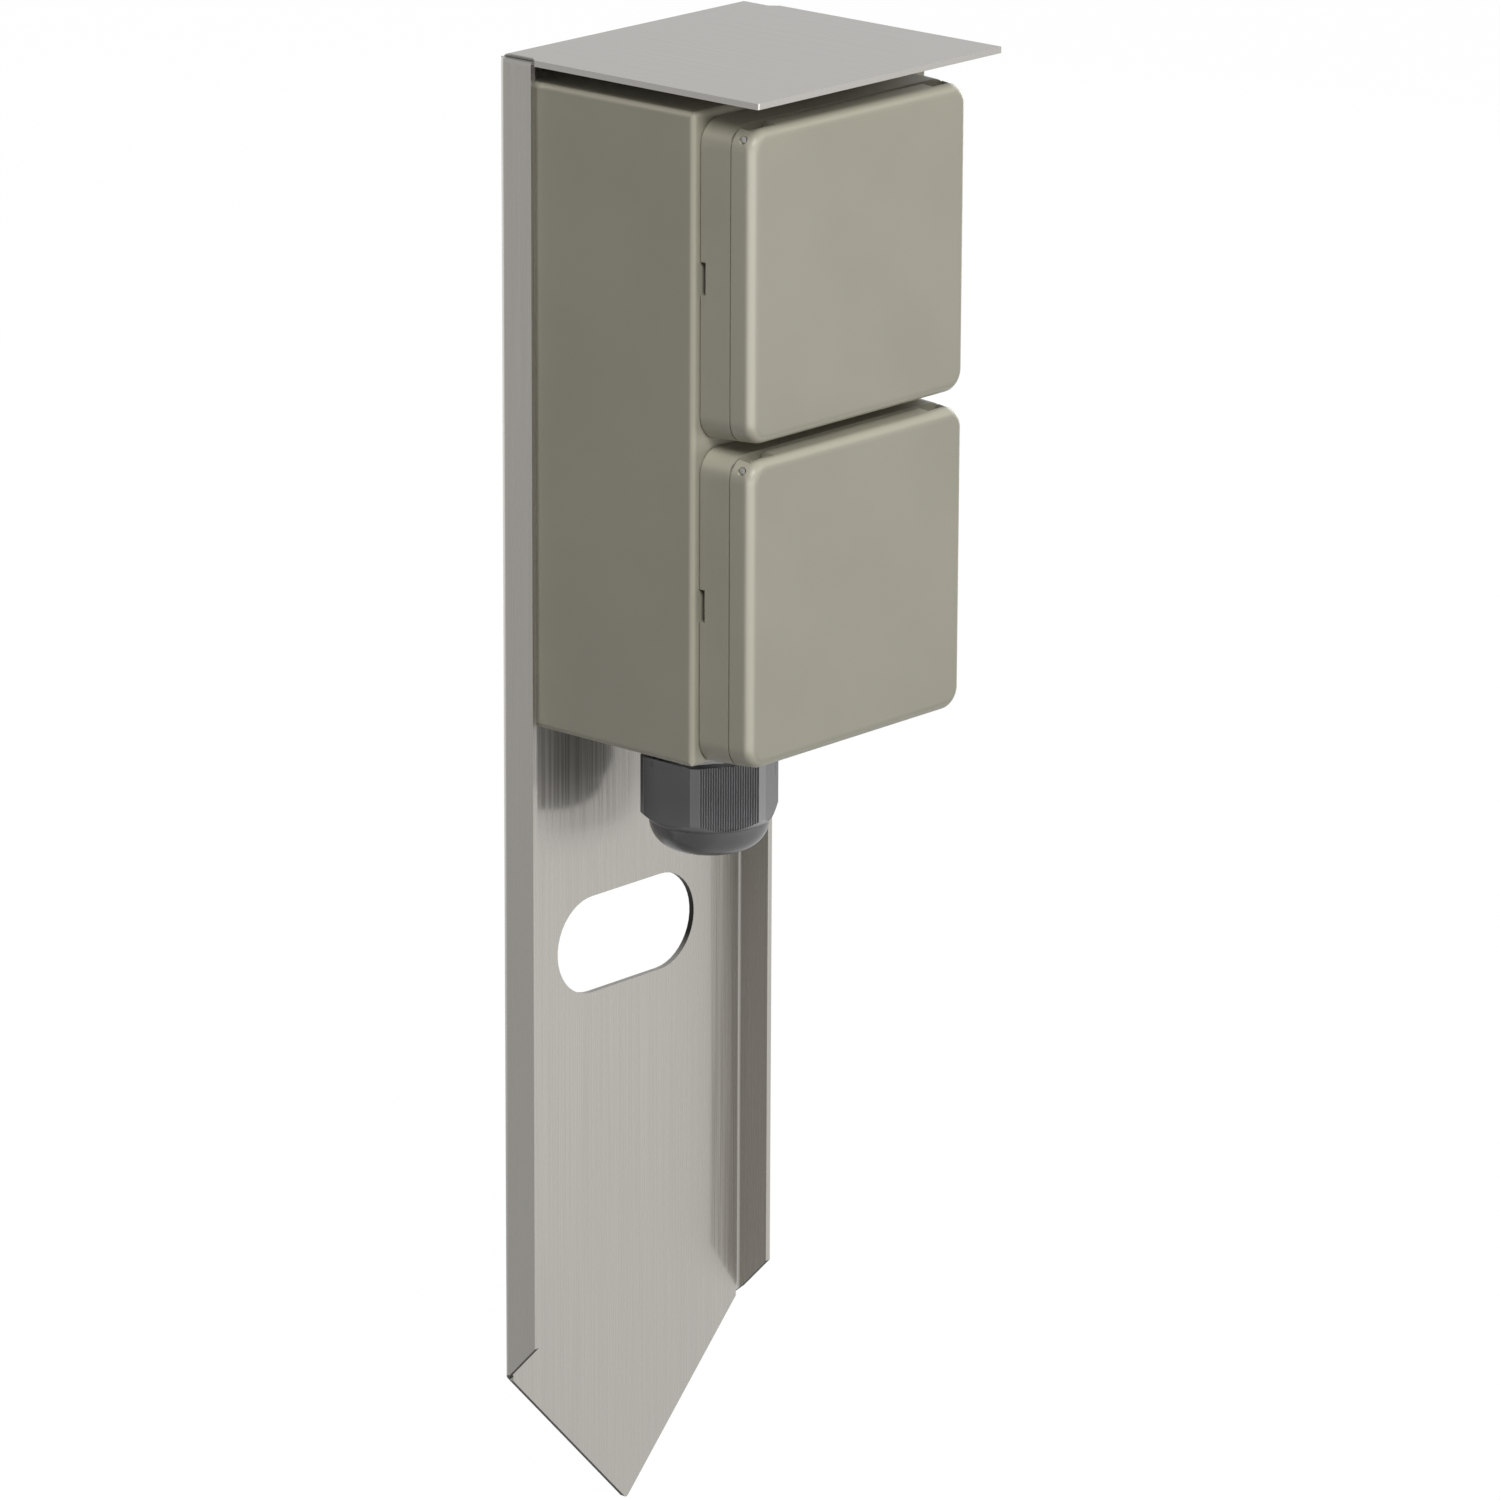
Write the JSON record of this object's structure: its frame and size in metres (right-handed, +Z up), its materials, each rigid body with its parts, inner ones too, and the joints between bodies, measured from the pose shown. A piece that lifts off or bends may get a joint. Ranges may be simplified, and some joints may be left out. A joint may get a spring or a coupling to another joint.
{
  "type": "garden socket post",
  "caption": "Folded stainless ground post with a roof and a spike, carrying a weatherproof housing with lidded earthed outlets and a cable gland.",
  "frame": {"origin": "the tip of the ground spike, on the back face of the sheet", "axes": "+Z up along the post, -Y towards the front with the lids, +X to the right seen from the front"},
  "size_m": [0.0874, 0.0852, 0.38],
  "materials": {
    "stainless_sheet": "vertically brushed, satin",
    "housing_plastic": "fine satin, beige grey",
    "gland_plastic": "satin, dark grey",
    "rubber_seal": "matt",
    "base_plastic": "matt, pale",
    "brass": "bright stamped",
    "plated_steel": "bright",
    "spring_steel": "bright drawn wire",
    "live_insulation": "satin, brown",
    "neutral_insulation": "satin, blue",
    "earth_insulation": "satin, green and yellow"
  },
  "bodies": {
    "post": {"post_sheet": "stainless_sheet", "housing": "housing_plastic", "upper_frame": "housing_plastic", "lower_frame": "housing_plastic", "upper_gasket": "rubber_seal", "lower_gasket": "rubber_seal", "upper_insert": "housing_plastic", "lower_insert": "housing_plastic", "upper_earth_clip": "brass", "lower_earth_clip": "brass", "upper_base": "base_plastic", "lower_base": "base_plastic", "upper_contacts": "brass", "lower_contacts": "brass", "upper_earth_terminal": "brass", "lower_earth_terminal": "brass", "upper_centre_screw": "plated_steel", "lower_centre_screw": "plated_steel", "upper_base_screws": "plated_steel", "lower_base_screws": "plated_steel", "upper_terminal_screws": "plated_steel", "lower_terminal_screws": "plated_steel", "live_link_wire": "live_insulation", "neutral_link_wire": "neutral_insulation", "earth_link_wire": "earth_insulation", "gland_body": "gland_plastic", "gland_seal": "rubber_seal", "gland_washer": "rubber_seal", "gland_locknut": "gland_plastic", "rear_screws": "plated_steel", "earth_screw": "plated_steel", "earth_nut": "plated_steel", "earth_lug": "earth_insulation"},
    "upper_lid": {"upper_lid": "housing_plastic", "upper_hinge_pin": "plated_steel", "upper_lid_spring": "spring_steel", "upper_lid_seal": "rubber_seal"},
    "lower_lid": {"lower_lid": "housing_plastic", "lower_hinge_pin": "plated_steel", "lower_lid_spring": "spring_steel", "lower_lid_seal": "rubber_seal"},
    "gland_nut": {"gland_nut": "gland_plastic"}
  },
  "joints": [
    {"name": "upper_lid_hinge", "type": "hinge", "parent": "post", "child": "upper_lid", "pos_m": [0, -0.0733, 0.36911], "axis": [-1, 0, 0], "range_deg": [0, 100], "stiffness_Nm_per_rad": 0.03, "springref_deg": -34.38},
    {"name": "lower_lid_hinge", "type": "hinge", "parent": "post", "child": "lower_lid", "pos_m": [0, -0.0733, 0.28941], "axis": [-1, 0, 0], "range_deg": [0, 100], "stiffness_Nm_per_rad": 0.03, "springref_deg": -34.38},
    {"name": "gland_nut_turn", "type": "hinge", "parent": "post", "child": "gland_nut", "pos_m": [0, -0.0292, 0.1911], "axis": [0, 0, 1], "continuous": true}
  ]
}
